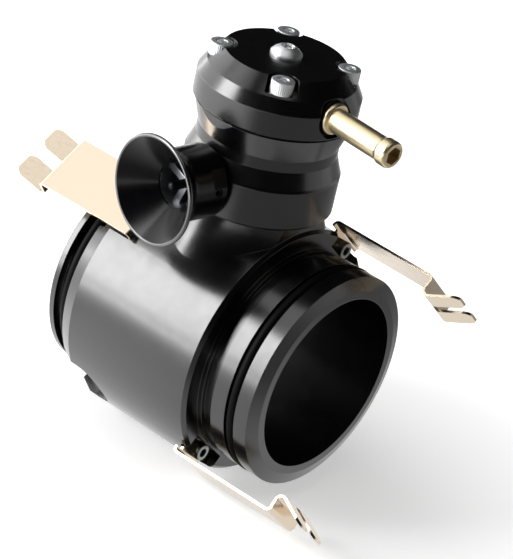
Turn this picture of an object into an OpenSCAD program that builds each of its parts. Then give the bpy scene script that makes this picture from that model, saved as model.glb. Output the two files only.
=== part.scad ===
// Blow off valve built onto a short pipe adaptor, with a side trumpet and leaf clips at both pipe ends.
// The pipe axis is X, the valve axis is Z, and both pass through the origin. Sizes are in millimetres.

/* [Pipe] */
// Bore of the pipe
bore_d = 57; // [52:0.5:58]
// Diameter of the sealing lands at both ends
spigot_d = 70.6; // [69.6:0.2:71.2]
// Diameter of the thick middle of the pipe
main_d = 82.4; // [82:0.2:83.2]
// Valve axis to the front end
front_len = 42; // [41.5:0.25:44]
// Valve axis to the rear end
rear_len = 42.8; // [42.4:0.2:45]
// Outer diameter of the front lip face
lip_d = 62.2; // [61:0.2:64]
// Length of the sloped front lip
lip_len = 1.4; // [1:0.1:2]
// Width of the front land beside the lip
front_land = 5; // [4.5:0.1:5.4]
// Width of the land behind the front groove
inner_land = 5.4; // [5:0.1:5.8]
// Width of the relief behind that land
relief_len = 3.7; // [3.3:0.1:4]
// Depth of the relief
relief_depth = 1.6; // [1:0.1:2]
// Length of the raised step at the front face
step_len = 1.7; // [1.2:0.1:2]
// Small bevel of the front edge of the thick middle
front_bevel = 1.1; // [0.6:0.1:1.5]
// Width of the rear end land
rear_land = 2.3; // [1.8:0.1:2.6]
// Width of the wide groove at the rear end
rear_groove_w = 7.5; // [7:0.1:8]
// Length of the long bevel at the rear edge
rear_bevel_len = 5.2; // [4:0.2:6]
// Height of the long bevel at the rear edge
rear_bevel_rise = 2.5; // [2:0.1:3]

/* [Pipe seals] */
// Width of the front groove
groove_w = 3.8; // [3.6:0.1:4]
// Thickness of the two end O-rings
end_ring_d = 3; // [2.8:0.1:3.2]
// Height that the end O-rings stand above their lands
end_ring_proud = 0.2; // [0.1:0.05:0.4]

/* [Neck] */
// Diameter of the round boss under the valve
boss_d = 43.6; // [43:0.2:44.4]
// Height of the boss top above the pipe axis
boss_z = 45; // [44.6:0.1:45.6]
// Height above the pipe axis at which the neck starts to flare
flare_z = 44.4; // [44:0.1:44.5]
// Width of the flare
flare_w = 7.6; // [6.8:0.1:8.2]
// Drop of the flare
flare_drop = 16.2; // [15.4:0.2:17]
// Bore of the air passage up to the seat
passage_d = 23; // [18:0.5:24]
// Diameter of the spigot that the valve body turns on
swivel_d = 36; // [35.6:0.1:36.2]
// Height of that spigot above the boss
swivel_h = 6; // [5.8:0.1:6.4]

/* [Swivel parts] */
// Running clearance between the spigot and the valve body
swivel_clear = 0.05; // [0.02:0.01:0.08]
// Thickness of the swivel O-ring
swivel_ring_d = 1.8; // [1.6:0.1:1.9]
// Thickness of the retaining wire
wire_d = 1; // [0.8:0.1:1.1]
// Gap in the retaining wire, as an angle
wire_gap = 30; // [15:5:60]
// Free space around the retaining wire in the valve body
wire_clear = 0.3; // [0.25:0.05:0.4]

/* [Valve body] */
// Turn of the valve about its own axis, away from square
valve_turn = -7; // [-20:1:20]
// Diameter of the lower ring
ring_d = 48.1; // [47.6:0.1:48.8]
// Height of the lower ring
ring_h = 13.4; // [12.8:0.2:14]
// Diameter of the waist
waist_d = 43.6; // [43:0.2:44.4]
// Height of the dip between the ring and the waist
dip_h = 5.1; // [4.4:0.1:5.6]
// Height of the straight waist
waist_h = 3.5; // [2.8:0.1:4.2]
// Diameter of the upper flange
flange_d = 48.6; // [48:0.2:50]
// Height of the cone from the waist to the flange
cone_h = 7.8; // [7.4:0.1:8.4]
// Diameter of the outlet chamber
chamber_d = 38.6; // [37.8:0.2:39]

/* [Piston] */
// Bore that the piston runs in
cylinder_d = 29; // [28.4:0.2:29.4]
// Running clearance of the piston
piston_clear = 0.05; // [0.02:0.01:0.08]
// Lift of the open piston
piston_lift = 8; // [6:0.5:8]
// Height of the piston
piston_h = 17; // [16.4:0.2:17.6]
// Thickness of the piston floor
piston_floor = 4; // [3.4:0.2:4.6]
// Wall of the piston skirt
piston_wall = 2.6; // [2.4:0.1:2.8]
// Thickness of the piston O-ring
piston_ring_d = 1.6; // [1.4:0.1:1.7]
// Height of the piston guide ring
guide_h = 1.5; // [1.2:0.1:1.8]
// Depth of the piston guide ring
guide_t = 1; // [0.8:0.1:1.2]
// Thickness of the rubber seat ring
seat_t = 1.5; // [1.2:0.1:1.8]

/* [Spring] */
// Mean diameter of the coil spring
spring_d = 18.4; // [18:0.2:19]
// Wire of the coil spring
spring_wire = 1.8; // [1.4:0.1:2]
// Turns of the coil spring
spring_turns = 6; // [5:1:7]

/* [Cap] */
// Diameter of the cap
cap_d = 50.2; // [49.8:0.2:51]
// Height of the straight side of the cap
cap_side_h = 7.8; // [7.4:0.1:8.2]
// Bevel of the lower edge of the cap
cap_edge = 0.6; // [0.4:0.1:0.8]
// Diameter at the break between the two cones of the cap
break_d = 45.7; // [45:0.1:46.4]
// Height of the steep lower cone
steep_h = 3.9; // [3.6:0.1:4.2]
// Diameter of the flat top
top_d = 37.2; // [36.6:0.2:38]
// Height of the upper cone
upper_h = 4.7; // [4.4:0.1:5]
// Thickness of the cap gasket
gasket_t = 0.5; // [0.4:0.1:0.8]
// Diameter of the cap cavity
cavity_d = 30; // [29.8:0.1:30.6]
// Thickness of the cap roof
roof_t = 5.2; // [4.8:0.1:5.6]
// Diameter of the spring post under the roof
post_d = 14; // [12:0.5:14.5]
// Length of the spring post
post_h = 5; // [4:0.5:6]

/* [Cap screws] */
// Diameter of the circle of cap screws
cap_circle_d = 38.6; // [38:0.2:39.2]
// Shank of a cap screw
cap_screw_d = 4; // [3.6:0.2:4.2]
// Head of a cap screw
cap_head_d = 7; // [6.6:0.2:7.4]
// Height of a cap screw head
cap_head_h = 4; // [3.6:0.2:4.4]
// Gap around a cap screw head
head_gap = 1.2; // [0.6:0.1:1.3]
// Depth of a cap screw in the valve body
cap_screw_bite = 5.4; // [4.6:0.2:5.8]

/* [Centre screw] */
// Shank of the blanking screw
plug_d = 6; // [5:0.5:6.5]
// Head of the blanking screw
plug_head_d = 10.5; // [10:0.25:11]
// Height of the domed head
plug_head_h = 3; // [2.6:0.2:3.3]
// Thickness of the sealing washer
plug_washer_t = 0.8; // [0.6:0.1:1]
// Outer diameter of the sealing washer
plug_washer_d = 11.2; // [10.8:0.2:13]

/* [Barb] */
// Height of the barb above the cap's lower face
barb_rise = 6.7; // [6.4:0.1:7]
// Thread of the barb
barb_thread_d = 7; // [6:0.5:7.5]
// Flange of the barb
barb_flange_d = 10; // [9.4:0.2:10.4]
// Thickness of the barb flange
barb_flange_t = 1.8; // [1.4:0.1:2.2]
// Tube of the barb
barb_tube_d = 7.5; // [7:0.1:7.8]
// Bead at the end of the barb
barb_bead_d = 8.5; // [8:0.1:9]
// Length of the bead
barb_bead_len = 3.6; // [3:0.1:4.2]
// Rounding of the barb tip
barb_tip_round = 1.2; // [0.8:0.1:1.3]
// Length of the cone behind the bead
barb_cone_len = 1.2; // [0.8:0.1:1.6]
// Valve axis to the barb tip
barb_reach = 49.2; // [46:0.2:52]
// Bore of the barb
barb_bore_d = 4; // [3:0.2:4.4]
// Hexagon socket in the tip, across flats
barb_hex = 5; // [4.4:0.1:5.4]
// Depth of that hexagon
barb_hex_depth = 6; // [4:0.5:8]
// Valve axis to the floor of the recess around the barb
barb_seat = 22.4; // [22:0.1:22.8]
// Diameter of the recess around the barb
barb_recess_d = 12.4; // [12:0.1:12.8]
// Thickness of the barb O-ring
barb_ring_d = 1.1; // [0.9:0.1:1.2]

/* [Outlet] */
// Direction of the trumpet, measured from the barb
trumpet_turn = -90; // [-100:1:-80]
// Height of the outlet above the boss
outlet_rise = 9; // [8.8:0.1:9.4]
// Valve axis to the flat that the trumpet seats on
outlet_seat = 23.3; // [23.1:0.1:23.5]
// Thread of the outlet nipple
nipple_thread_d = 16; // [15:0.5:16.4]
// Body of the outlet nipple inside the trumpet
nipple_d = 18; // [17.4:0.2:18.6]
// Length of that nipple body
nipple_len = 7; // [6:0.5:8]
// Bore of the outlet
outlet_bore_d = 13.5; // [12.5:0.25:14]
// Width of the cross bars in the nipple mouth
web_w = 1.8; // [1.4:0.1:2.4]
// Thickness of the cross bars
web_t = 2; // [1.5:0.1:2.5]

/* [Trumpet] */
// Valve axis to the trumpet rim
trumpet_reach = 43.6; // [42.6:0.2:46]
// Diameter of the rim
rim_d = 33.7; // [33:0.1:34.4]
// Roll of the rim edge
rim_roll = 1.4; // [1.2:0.1:1.6]
// Diameter of the collar
collar_d = 23.8; // [23.2:0.2:24.4]
// Length of the collar
collar_len = 5.6; // [5.4:0.1:6]
// Diameter of the tube behind the flare
tube_d = 22; // [21.6:0.2:22.4]
// Radius of the outer flare
flare_r = 12; // [11.5:0.25:13]
// Clearance between the collar and the nipple
collar_clear = 0.03; // [0.02:0.01:0.06]
// Depth of the spanner flat on the collar
flat_depth = 0.4; // [0.2:0.1:0.6]
// Angle of the spanner flat around the collar
flat_angle = 30; // [20:1:40]
// Angle of the set screw around the collar
set_angle = 8; // [0:1:8]
// Diameter of the set screw
set_d = 3; // [2.5:0.1:3.2]

/* [Clips] */
// Angle of the front clips from the valve axis
front_clip_angle = 41.5; // [39:0.5:44]
// Angle of the rear clips from the valve axis
rear_clip_angle = -35; // [-38:1:-32]
// Width of a clip
clip_w = 20; // [18:0.5:21]
// Thickness of the clip strip
clip_t = 0.8; // [0.6:0.1:0.9]
// Width of the clip tab under its screw
tab_w = 13; // [11:0.5:13.5]
// Inner radius of the bends in a clip
bend_r = 1; // [0.9:0.1:1.4]
// Inner radius of the bend at the detent crest
crest_r = 1.4; // [1:0.1:2]
// Height of the clip's outer face above the pipe axis
clip_height = 43.6; // [43.4:0.1:44.6]
// Length of the straight strap
strap_len = 35.6; // [33:0.2:36.6]
// Inward slope of the strap
strap_slope = 0.6; // [0.4:0.1:1]
// Length of the drop into the detent
detent_drop = 2.4; // [2:0.1:3]
// Length of the flared fingers
finger_len = 10; // [9:0.2:11]
// Outward slope of the fingers
finger_slope = 25; // [18:1:30]
// Slot between the two fingers
finger_slot = 4.2; // [3.4:0.2:5]
// Corner radius of the finger ends
finger_round = 2.6; // [2:0.1:3]

/* [Clip pockets] */
// Width of a pocket
pocket_w = 19; // [18.6:0.2:20]
// Corner radius of a pocket with a clip
pocket_r = 2.5; // [2:0.25:2.75]
// Depth of a front pocket
front_pocket = 4; // [3.6:0.1:4.4]
// Depth of a rear pocket
rear_pocket = 14.8; // [14:0.2:15.4]
// Depth of an empty rear pocket, which ends in a half circle
spare_pocket = 17; // [14:0.5:18]
// Angle of the two empty rear pockets from the valve axis
spare_pocket_angle = 50; // [47:1:52]
// Gap between a pocket floor and the spigot
floor_gap = 0.1; // [0.05:0.05:0.2]

/* [Clip screws] */
// Distance of the clip screws from the pipe axis
clip_screw_r = 38.3; // [38.2:0.1:38.6]
// Shank of a clip screw
clip_screw_d = 3; // [2.5:0.1:3.2]
// Head of a clip screw
clip_head_d = 5.5; // [5.2:0.1:5.6]
// Height of a clip screw head
clip_head_h = 3; // [2.6:0.1:3.2]
// Depth of a clip screw in the pipe
clip_screw_bite = 6; // [5:0.5:8]

/* [Hidden] */
$fn = 96;
eps = 0.01;
bore_r = bore_d / 2;
spigot_r = spigot_d / 2;
main_r = main_d / 2;
lip_r = lip_d / 2;
relief_r = spigot_r - relief_depth;
groove_r = spigot_r + end_ring_proud - end_ring_d;
front_groove_x = front_len - lip_len - front_land - groove_w;
inner_land_x = front_groove_x - inner_land;
step_x = inner_land_x - relief_len;
front_face = step_x - step_len;
rear_groove_x = -rear_len + rear_land;
rear_face = rear_groove_x + rear_groove_w;
end_ring_mid = groove_r + end_ring_d / 2;
boss_r = boss_d / 2;
swivel_r = swivel_d / 2;
swivel_bore_r = swivel_r + swivel_clear;
seat_z = boss_z + swivel_h;
ring_play = 0.1;
swivel_ring_z = boss_z + 1.9;
swivel_groove_r = swivel_r - swivel_ring_d;
wire_z = boss_z + 4.2;
wire_groove_w = wire_d + 2 * wire_clear;
ring_r = ring_d / 2;
ring_top = boss_z + ring_h;
ring_low_edge = 0.9;
ring_top_edge = 0.8;
waist_r = waist_d / 2;
waist_z = ring_top + dip_h;
cone_z = waist_z + waist_h;
flange_r = flange_d / 2;
flange_z = cone_z + cone_h;
chamber_r = chamber_d / 2;
chamber_z = seat_z + 0.3;
cylinder_r = cylinder_d / 2;
cylinder_z = boss_z + 16.5;
piston_r = cylinder_r - piston_clear;
piston_in_r = piston_r - piston_wall;
piston_ring_z = flange_z - piston_lift - guide_h - 1.9;
piston_groove_r = piston_r - piston_ring_d;
guide_z = piston_ring_z + 1.4;
guide_in_r = piston_r - guide_t;
passage_r = passage_d / 2;
seat_in_r = passage_r - 0.5;
seat_out_r = passage_r + 1.8;
spring_z = seat_z + piston_floor;
cap_z = flange_z + gasket_t;
cap_r = cap_d / 2;
side_top = cap_z + cap_side_h;
break_z = side_top + steep_h;
top_z = break_z + upper_h;
roof_z = top_z - roof_t;
cavity_r = cavity_d / 2;
cap_circle_r = cap_circle_d / 2;
hole_play = 0.4;
cap_head_z = top_z - cap_head_h;
barb_z = cap_z + barb_rise;
barb_flange_x = barb_seat + barb_ring_d;
barb_tube_x = barb_flange_x + barb_flange_t;
barb_bead_x = barb_reach - barb_bead_len;
outlet_z = boss_z + outlet_rise;
nipple_end = outlet_seat + nipple_len;
nipple_depth = 3;
outlet_r = outlet_bore_d / 2;
rim_r = rim_d / 2;
collar_r = collar_d / 2;
tube_r = tube_d / 2;
throat_x = nipple_end + collar_clear;
rim_in_r = rim_r - rim_roll;
bell_len = trumpet_reach - throat_x;
bell_rise = rim_in_r - outlet_r;
bell_turn = 2 * atan(bell_rise / bell_len);
bell_r = bell_len / sin(bell_turn);
flare_start = trumpet_reach - sqrt(pow(flare_r, 2) - pow(tube_r + flare_r - rim_r, 2));
set_x = outlet_seat + 3.9;
set_sink = 0.4;
pocket_floor = spigot_r + floor_gap;
front_wall = front_face - front_pocket;
rear_wall = rear_face + rear_pocket;
bend_mid = bend_r + clip_t / 2;
crest_mid = crest_r + clip_t / 2;
strap_mid = clip_height - clip_t / 2;
tab_len = strap_mid - bend_mid - pocket_floor - 0.5;
detent_turn = 94;
fall_slope = strap_slope + detent_turn;
strap_x = clip_t / 2 + bend_mid * (1 + sin(strap_slope));
fall_x = strap_x + strap_len * cos(strap_slope) + bend_mid * (sin(fall_slope) - sin(strap_slope));
crest_x = fall_x + detent_drop * cos(fall_slope) + crest_mid * sin(fall_slope);
finger_x = crest_x + crest_mid * sin(finger_slope);
tip_x = finger_x + finger_len * cos(finger_slope);

// Front and rear clip angles, with each clip's opposite one
front_clips = [front_clip_angle, front_clip_angle + 180];
rear_clips = [rear_clip_angle, rear_clip_angle + 180];
spare_pockets = [spare_pocket_angle, spare_pocket_angle + 180];
cap_screw_angles = [for (k = [0 : 3]) valve_turn + 45 + 90 * k];

module black_anodised() color([0.07, 0.07, 0.08]) children();
module black_rubber() color([0.03, 0.03, 0.03]) children();
module bright_aluminium() color([0.78, 0.79, 0.8]) children();
module zinc_plate() color([0.72, 0.74, 0.76]) children();
module brass() color([0.83, 0.68, 0.38]) children();
module stainless() color([0.8, 0.77, 0.72]) children();
module spring_steel() color([0.55, 0.56, 0.58]) children();

// Turns a shape drawn about Z so that it lies along X
module along_x() rotate([0, 90, 0]) children();

// Turns a shape drawn along X to one angle around the valve axis, at one height
module from_valve(angle, height) translate([0, 0, height]) rotate([0, 0, angle]) children();

// Turns a shape drawn above the pipe axis to one angle from the valve axis
module around_pipe(angle) rotate([-angle, 0, 0]) children();

// A ring with a round section
module round_ring(mid_r, section_d)
    rotate_extrude() translate([mid_r, 0]) circle(d = section_d, $fn = 32);

// A ring with a square section
module flat_ring(in_r, out_r, height) rotate_extrude() translate([in_r, 0]) square([out_r - in_r, height]);

// A socket head screw pointing down, with the underside of its head at the origin
module socket_screw(shank_d, shank_len, head_d, head_h, hex) {
    rim = 0.35;
    difference() {
        union() {
            translate([0, 0, -shank_len]) cylinder(d = shank_d, h = shank_len + eps, $fn = 32);
            rotate_extrude($fn = 48) polygon([[0, 0], [head_d / 2, 0], [head_d / 2, head_h - rim],
                [head_d / 2 - rim, head_h], [0, head_h]]);
        }
        translate([0, 0, head_h / 2]) cylinder(d = hex / cos(30), h = head_h, $fn = 6);
    }
}

// Outline of the pipe, radius against place along the axis
module pipe_profile() {
    edge = 0.5;
    polygon([[0, -rear_len], [spigot_r - edge, -rear_len], [spigot_r, -rear_len + edge],
        [spigot_r, rear_groove_x], [groove_r, rear_groove_x], [groove_r, rear_face],
        [main_r - rear_bevel_rise, rear_face], [main_r, rear_face + rear_bevel_len],
        [main_r, front_face - front_bevel], [main_r - front_bevel, front_face],
        [spigot_r, front_face], [spigot_r, step_x], [relief_r, step_x], [relief_r, inner_land_x],
        [spigot_r, inner_land_x], [spigot_r, front_groove_x], [groove_r, front_groove_x],
        [groove_r, front_groove_x + groove_w], [spigot_r, front_groove_x + groove_w],
        [spigot_r, front_len - lip_len], [lip_r, front_len], [0, front_len]]);
}

// Boss and swivel spigot of the neck, turned about the valve axis and cut flush with the front face
module neck() difference() {
    low_z = bore_r / 2;
    rotate_extrude() polygon([[0, low_z], [boss_r, low_z], [boss_r, boss_z], [swivel_r, boss_z],
        [swivel_r, seat_z], [0, seat_z]]);
    translate([0, 0, swivel_ring_z - swivel_ring_d / 2 - ring_play])
        flat_ring(swivel_groove_r, boss_r, swivel_ring_d + 2 * ring_play);
    translate([0, 0, wire_z]) round_ring(swivel_r, wire_d);
    translate([front_face - front_bevel, -boss_r, low_z - 1]) cube([boss_r, boss_d, boss_z - low_z + 2]);
}

// Flare that blends the boss into the thick middle of the pipe
module neck_flare() {
    fall = atan(flare_drop / flare_w);
    chord = sqrt(pow(flare_w, 2) + pow(flare_drop, 2));
    curve_r = 2.2 * chord;
    sag = sqrt(pow(curve_r, 2) - pow(chord / 2, 2));
    mid = [boss_r + flare_w / 2, flare_z - flare_drop / 2];
    centre = mid + sag * [sin(fall), cos(fall)];
    intersection() {
        rotate_extrude() difference() {
            polygon([[0, flare_z], [boss_r, flare_z], [boss_r + flare_w, flare_z - flare_drop],
                [0, flare_z - flare_drop]]);
            translate(centre) circle(r = curve_r, $fn = 180);
        }
        translate([rear_face + rear_bevel_len, -main_r, 0])
            cube([front_face - front_bevel - rear_face - rear_bevel_len, main_d, main_d]);
    }
}

// Room for a clip root, from a back wall towards plus X
module pocket(depth) {
    reach = main_r - pocket_floor + 5;
    translate([0, 0, pocket_floor]) {
        translate([pocket_r, -pocket_w / 2, 0]) cube([depth, pocket_w, reach]);
        translate([0, pocket_r - pocket_w / 2, 0]) cube([depth, pocket_w - 2 * pocket_r, reach]);
        for (side = [-1, 1])
            translate([pocket_r, side * (pocket_w / 2 - pocket_r), 0]) cylinder(r = pocket_r, h = reach);
    }
}

// Empty rear pocket, from the rear face towards plus X, with a round end
module slot() {
    reach = main_r - pocket_floor + 5;
    straight = spare_pocket - pocket_w / 2;
    translate([-1, -pocket_w / 2, pocket_floor]) cube([straight + 1, pocket_w, reach]);
    translate([straight, 0, pocket_floor]) cylinder(d = pocket_w, h = reach);
}

// Puts a shape drawn for a front clip at its place and angle
module at_front(angle) around_pipe(angle) translate([front_wall, 0, 0]) children();

// The same for a rear clip, facing the other way
module at_rear(angle) around_pipe(angle) translate([rear_wall, 0, 0]) mirror([1, 0, 0]) children();

module tapped_hole()
    translate([-clip_screw_bite, 0, clip_screw_r]) along_x()
        cylinder(d = clip_screw_d, h = clip_screw_bite + 1, $fn = 32);

module pipe_body() black_anodised() difference() {
    union() {
        along_x() rotate_extrude() pipe_profile();
        neck();
        neck_flare();
    }
    translate([-rear_len - 1, 0, 0]) along_x() cylinder(d = bore_d, h = rear_len + front_len + 2);
    cylinder(d = passage_d, h = seat_z + 1);
    for (a = front_clips) at_front(a) {
        pocket(front_pocket + 1);
        tapped_hole();
    }
    for (a = rear_clips) at_rear(a) {
        pocket(rear_pocket + 1);
        tapped_hole();
    }
    for (a = spare_pockets) around_pipe(a) translate([rear_face, 0, 0]) slot();
}

module front_o_ring() black_rubber()
    translate([front_groove_x + groove_w / 2, 0, 0]) along_x() round_ring(end_ring_mid, end_ring_d);

module rear_o_ring() black_rubber()
    translate([rear_groove_x + rear_groove_w / 2, 0, 0]) along_x() round_ring(end_ring_mid, end_ring_d);

module swivel_o_ring() black_rubber()
    translate([0, 0, swivel_ring_z]) round_ring(swivel_r - swivel_ring_d / 2, swivel_ring_d);

module retaining_wire() spring_steel()
    translate([0, 0, wire_z]) rotate([0, 0, wire_gap / 2]) rotate_extrude(angle = 360 - wire_gap)
        translate([swivel_r, 0]) circle(d = wire_d, $fn = 32);

// Turned outside of the valve body
module valve_outline()
    polygon([[0, boss_z], [ring_r - ring_low_edge, boss_z], [ring_r, boss_z + ring_low_edge],
        [ring_r, ring_top - ring_top_edge], [ring_r - ring_top_edge / 2, ring_top], [waist_r, waist_z],
        [waist_r, cone_z], [flange_r, flange_z], [0, flange_z]]);

// Bores inside the valve body
module valve_bores()
    polygon([[0, boss_z - 1], [swivel_bore_r, boss_z - 1], [swivel_bore_r, wire_z - wire_groove_w / 2],
        [swivel_r + wire_d / 2 + wire_clear, wire_z - wire_groove_w / 2],
        [swivel_r + wire_d / 2 + wire_clear, wire_z + wire_groove_w / 2],
        [swivel_bore_r, wire_z + wire_groove_w / 2], [swivel_bore_r, chamber_z],
        [chamber_r, chamber_z], [chamber_r, cylinder_z - chamber_r + cylinder_r],
        [cylinder_r, cylinder_z], [cylinder_r, flange_z + 1], [0, flange_z + 1]]);

module valve_body() black_anodised() difference() {
    rotate_extrude() valve_outline();
    rotate_extrude() valve_bores();
    from_valve(valve_turn + trumpet_turn, outlet_z) {
        translate([outlet_seat, -ring_r, -ring_d]) cube([ring_r, ring_d, 2 * ring_d]);
        translate([outlet_seat - nipple_depth, 0, 0]) along_x()
            cylinder(d = nipple_thread_d, h = nipple_depth + 1);
        intersection() {
            along_x() cylinder(d = outlet_bore_d, h = outlet_seat);
            translate([0, -ring_r, chamber_z - outlet_z]) cube([ring_d, ring_d, ring_d]);
        }
    }
    for (a = cap_screw_angles) rotate([0, 0, a])
        translate([cap_circle_r, 0, flange_z - cap_screw_bite])
            cylinder(d = cap_screw_d, h = cap_screw_bite + 1, $fn = 32);
}

module piston() bright_aluminium() difference() {
    nose_r = seat_out_r + 0.6;
    rotate_extrude() polygon([[0, seat_z], [nose_r, seat_z], [piston_r, seat_z + piston_r - nose_r],
        [piston_r, seat_z + piston_h], [0, seat_z + piston_h]]);
    translate([0, 0, spring_z]) cylinder(r = piston_in_r, h = piston_h);
    translate([0, 0, seat_z - 1]) flat_ring(seat_in_r, seat_out_r, seat_t + 1);
    translate([0, 0, piston_ring_z - piston_ring_d / 2 - ring_play])
        flat_ring(piston_groove_r, cylinder_r + 1, piston_ring_d + 2 * ring_play);
    translate([0, 0, guide_z]) flat_ring(guide_in_r, cylinder_r + 1, guide_h);
}

module piston_o_ring() black_rubber()
    translate([0, 0, piston_ring_z]) round_ring(piston_r - piston_ring_d / 2, piston_ring_d);

module piston_guide_ring() color([0.9, 0.9, 0.86])
    translate([0, 0, guide_z]) flat_ring(guide_in_r, piston_r + piston_clear / 2, guide_h);

module seat_ring() black_rubber() translate([0, 0, seat_z]) flat_ring(seat_in_r, seat_out_r, seat_t);

// Coil spring with ground ends, from the piston floor to the cap roof: a slice of wire, swept round
module return_spring() {
    height = roof_z - spring_z;
    half_span = 180 * spring_wire * spring_turns / height;
    steps = 5;
    mid_r = spring_d / 2;
    slice = [for (k = [-steps : steps]) [k / steps, sqrt(1 - pow(k / steps, 2)) * spring_wire / 2]];
    outer = [for (p = slice) (mid_r + p[1]) * [cos(half_span * p[0]), sin(half_span * p[0])]];
    inner = [for (k = [2 * steps - 1 : -1 : 1])
        (mid_r - slice[k][1]) * [cos(half_span * slice[k][0]), sin(half_span * slice[k][0])]];
    spring_steel() translate([0, 0, spring_z])
        linear_extrude(height, twist = -360 * spring_turns, slices = 16 * spring_turns, $fn = 12)
            polygon(concat(outer, inner));
}

module cap_gasket() black_rubber() difference() {
    translate([0, 0, flange_z]) flat_ring(cavity_r, flange_r - 0.3, gasket_t);
    for (a = cap_screw_angles) rotate([0, 0, a])
        translate([cap_circle_r, 0, flange_z - 1])
            cylinder(d = cap_screw_d + hole_play, h = gasket_t + 2, $fn = 32);
}

module cap() black_anodised() difference() {
    notch_r = cap_head_d / 2 + head_gap;
    rotate_extrude() polygon([[0, cap_z], [cap_r - cap_edge, cap_z], [cap_r, cap_z + cap_edge],
        [cap_r, side_top], [break_d / 2, break_z], [top_d / 2, top_z], [0, top_z]]);
    difference() {
        translate([0, 0, cap_z - 1]) cylinder(r = cavity_r, h = roof_z - cap_z + 1);
        translate([0, 0, roof_z - post_h]) cylinder(d = post_d, h = post_h + 1);
    }
    translate([0, 0, roof_z - post_h - 1]) cylinder(d = plug_d, h = post_h + roof_t + 2, $fn = 48);
    for (a = cap_screw_angles) rotate([0, 0, a]) {
        translate([cap_circle_r, 0, cap_z - 1]) cylinder(d = cap_screw_d + hole_play, h = top_z, $fn = 32);
        translate([cap_circle_r, 0, cap_head_z]) cylinder(r = notch_r, h = cap_head_h + 1);
        translate([cap_circle_r, -notch_r, cap_head_z]) cube([cap_r, 2 * notch_r, cap_head_h + 1]);
    }
    from_valve(valve_turn, barb_z) {
        translate([cavity_r - 2, 0, 0]) along_x()
            cylinder(d = barb_thread_d, h = cap_r - cavity_r, $fn = 48);
        translate([barb_seat, 0, 0]) along_x() cylinder(d = barb_recess_d, h = cap_r);
    }
}

module cap_screws() zinc_plate() for (a = cap_screw_angles) rotate([0, 0, a])
    translate([cap_circle_r, 0, cap_head_z])
        socket_screw(cap_screw_d, cap_head_z - flange_z + cap_screw_bite, cap_head_d, cap_head_h, 3);

// Domed head, turned as a slice of a sphere
module blanking_screw() zinc_plate() translate([0, 0, top_z + plug_washer_t]) difference() {
    dome_r = (pow(plug_head_d / 2, 2) + pow(plug_head_h, 2)) / (2 * plug_head_h);
    plug_hex = 4;
    plug_hex_depth = 2;
    union() {
        translate([0, 0, -plug_washer_t - roof_t])
            cylinder(d = plug_d, h = roof_t + plug_washer_t + 1, $fn = 48);
        intersection() {
            translate([0, 0, plug_head_h - dome_r]) sphere(r = dome_r);
            cylinder(d = plug_head_d, h = plug_head_h);
        }
    }
    translate([0, 0, plug_head_h - plug_hex_depth])
        cylinder(d = plug_hex / cos(30), h = plug_hex_depth + 1, $fn = 6);
}

module blanking_washer() zinc_plate()
    translate([0, 0, top_z]) flat_ring(plug_d / 2, plug_washer_d / 2, plug_washer_t);

// Turned outline of the barb: thread, flange with a round rim, tube, cone and bead with a round tip
module barb_outline() {
    tube_half = barb_tube_d / 2;
    bead_r = barb_bead_d / 2;
    edge_r = barb_flange_t / 2;
    edge_x = barb_flange_d / 2 - edge_r;
    tip_x = bead_r - barb_tip_round;
    tip_z = barb_reach - barb_tip_round;
    polygon([[0, cavity_r + 1], [barb_thread_d / 2, cavity_r + 1], [barb_thread_d / 2, barb_flange_x],
        [edge_x, barb_flange_x], [edge_x, barb_tube_x], [tube_half, barb_tube_x],
        [tube_half, barb_bead_x - barb_cone_len], [bead_r, barb_bead_x], [bead_r, tip_z], [tip_x, tip_z],
        [tip_x, barb_reach], [0, barb_reach]]);
    translate([edge_x, barb_flange_x + edge_r]) circle(r = edge_r, $fn = 48);
    translate([tip_x, tip_z]) circle(r = barb_tip_round, $fn = 48);
}

module vacuum_barb() brass() from_valve(valve_turn, barb_z) along_x() difference() {
    rotate_extrude($fn = 64) barb_outline();
    cylinder(d = barb_bore_d, h = barb_reach + 1, $fn = 32);
    translate([0, 0, barb_reach - barb_hex_depth])
        cylinder(d = barb_hex / cos(30), h = barb_hex_depth + 1, $fn = 6);
}

module barb_o_ring() black_rubber() from_valve(valve_turn, barb_z)
    translate([barb_seat + barb_ring_d / 2, 0, 0]) along_x()
        round_ring(barb_flange_d / 2 - 0.2, barb_ring_d);

// Threaded nipple that carries the trumpet, with cross bars in its mouth
module outlet_nipple() bright_aluminium() from_valve(valve_turn + trumpet_turn, outlet_z) along_x() {
    nipple_r = nipple_d / 2;
    difference() {
        rotate_extrude() polygon([[0, outlet_seat - nipple_depth],
            [nipple_thread_d / 2, outlet_seat - nipple_depth], [nipple_thread_d / 2, outlet_seat],
            [nipple_r, outlet_seat], [nipple_r, nipple_end], [0, nipple_end]]);
        difference() {
            cylinder(d = outlet_bore_d, h = nipple_end + 1);
            for (turn = [0, 90]) rotate([0, 0, turn])
                translate([-outlet_bore_d, -web_w / 2, nipple_end - web_t])
                    cube([2 * outlet_bore_d, web_w, web_t]);
        }
    }
}

// Outside of the trumpet, radius against distance from the valve axis
module trumpet_outline() {
    edge = 0.5;
    roll_r = rim_roll / 2;
    polygon([[0, outlet_seat], [collar_r - edge, outlet_seat], [collar_r, outlet_seat + edge],
        [collar_r, outlet_seat + collar_len - edge], [collar_r - edge, outlet_seat + collar_len],
        [tube_r, outlet_seat + collar_len], [tube_r, flare_start], [0, flare_start]]);
    difference() {
        translate([0, flare_start - 1])
            square([rim_r - roll_r, trumpet_reach - flare_start + 1 - roll_r]);
        translate([tube_r, flare_start - 2]) square([flare_r, 2]);
        translate([tube_r + flare_r, flare_start]) circle(r = flare_r, $fn = 128);
    }
    translate([rim_r - roll_r, trumpet_reach - roll_r]) circle(r = roll_r, $fn = 32);
}

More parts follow.
